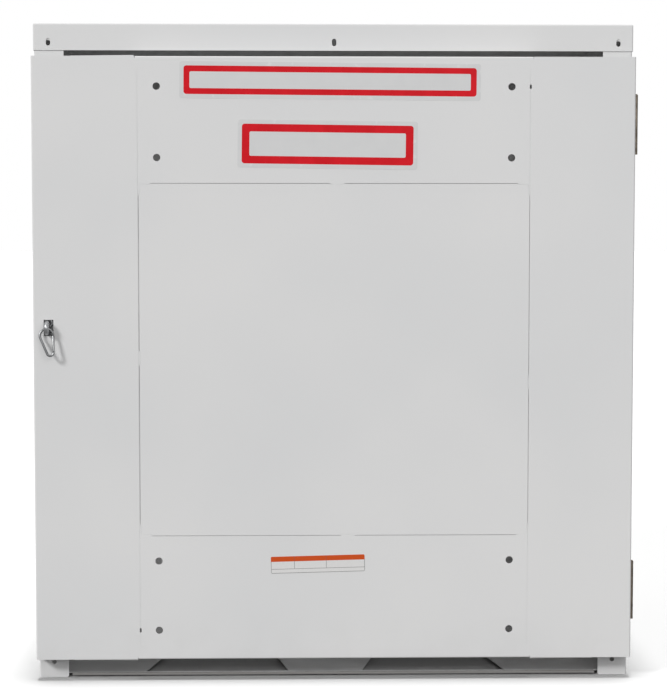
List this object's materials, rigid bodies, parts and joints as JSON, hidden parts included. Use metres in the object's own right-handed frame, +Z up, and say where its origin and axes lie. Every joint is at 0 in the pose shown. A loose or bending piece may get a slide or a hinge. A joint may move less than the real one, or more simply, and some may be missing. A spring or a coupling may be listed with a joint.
{
  "type": "gas bottle cabinet",
  "caption": "Free-standing sheet-metal locker for gas bottles, with a hinged front door, slotted vents, an inner shelf and a staple closed by a snap clip.",
  "frame": {"origin": "on the ground, at the middle of the footprint with the door and its latch", "axes": "+Z up, +X to the right as seen from the front, the door looks along -Y"},
  "size_m": [1.0331, 0.7481, 1.124],
  "materials": {
    "body_coat": "light grey satin coating on folded steel sheet",
    "door_coat": "light grey satin coating on folded steel sheet",
    "zinc_plate": "bright zinc plate",
    "rivet_metal": "dull zinc",
    "hinge_metal": "yellow-brown passivated steel",
    "clip_steel": "bright zinc-plated wire",
    "sign_film": "thin blank film",
    "label_paper": "blank label stock",
    "bumper_rubber": "black rubber"
  },
  "bodies": {
    "cabinet": {"left_side_panel": "body_coat", "right_side_panel": "body_coat", "roof_cap": "body_coat", "back_panel": "body_coat", "floor_pan": "body_coat", "mid_shelf": "body_coat", "shelf_rail_left": "zinc_plate", "shelf_rail_right": "zinc_plate", "roof_rivets": "rivet_metal", "floor_rivets": "rivet_metal", "shelf_rail_rivets": "rivet_metal", "back_panel_rivets": "rivet_metal", "upper_hinge_frame_leaf": "hinge_metal", "lower_hinge_frame_leaf": "hinge_metal", "upper_hinge_pin": "hinge_metal", "lower_hinge_pin": "hinge_metal", "hinge_frame_rivets": "rivet_metal", "latch_staple": "zinc_plate", "staple_plate": "zinc_plate", "staple_nuts": "zinc_plate", "door_bumpers": "bumper_rubber"},
    "door": {"door_skin": "door_coat", "latch_stile": "door_coat", "hinge_stile": "door_coat", "upper_sign_film": "sign_film", "lower_sign_film": "sign_film", "small_label": "label_paper", "upper_hinge_door_leaf": "hinge_metal", "lower_hinge_door_leaf": "hinge_metal", "hinge_door_rivets": "rivet_metal"},
    "clip": {"clip_body": "clip_steel", "clip_pin": "clip_steel"},
    "gate": {"clip_gate": "clip_steel"}
  },
  "joints": [
    {"name": "door_swing", "type": "hinge", "parent": "cabinet", "child": "door", "pos_m": [0.51685, -0.3305, 0.5515], "axis": [0, 0, 1], "range_deg": [0, 170]},
    {"name": "clip_swing", "type": "hinge", "parent": "cabinet", "child": "clip", "pos_m": [-0.488, -0.36, 0.60565], "axis": [-1, 0, 0], "range_deg": [-13, 60]},
    {"name": "gate_swing", "type": "hinge", "parent": "clip", "child": "gate", "pos_m": [-0.47639, -0.36789, 0.56852], "axis": [0, -0.9781, 0.2079], "range_deg": [0, 22], "stiffness_Nm_per_rad": 0.02, "springref_deg": -11.46}
  ]
}
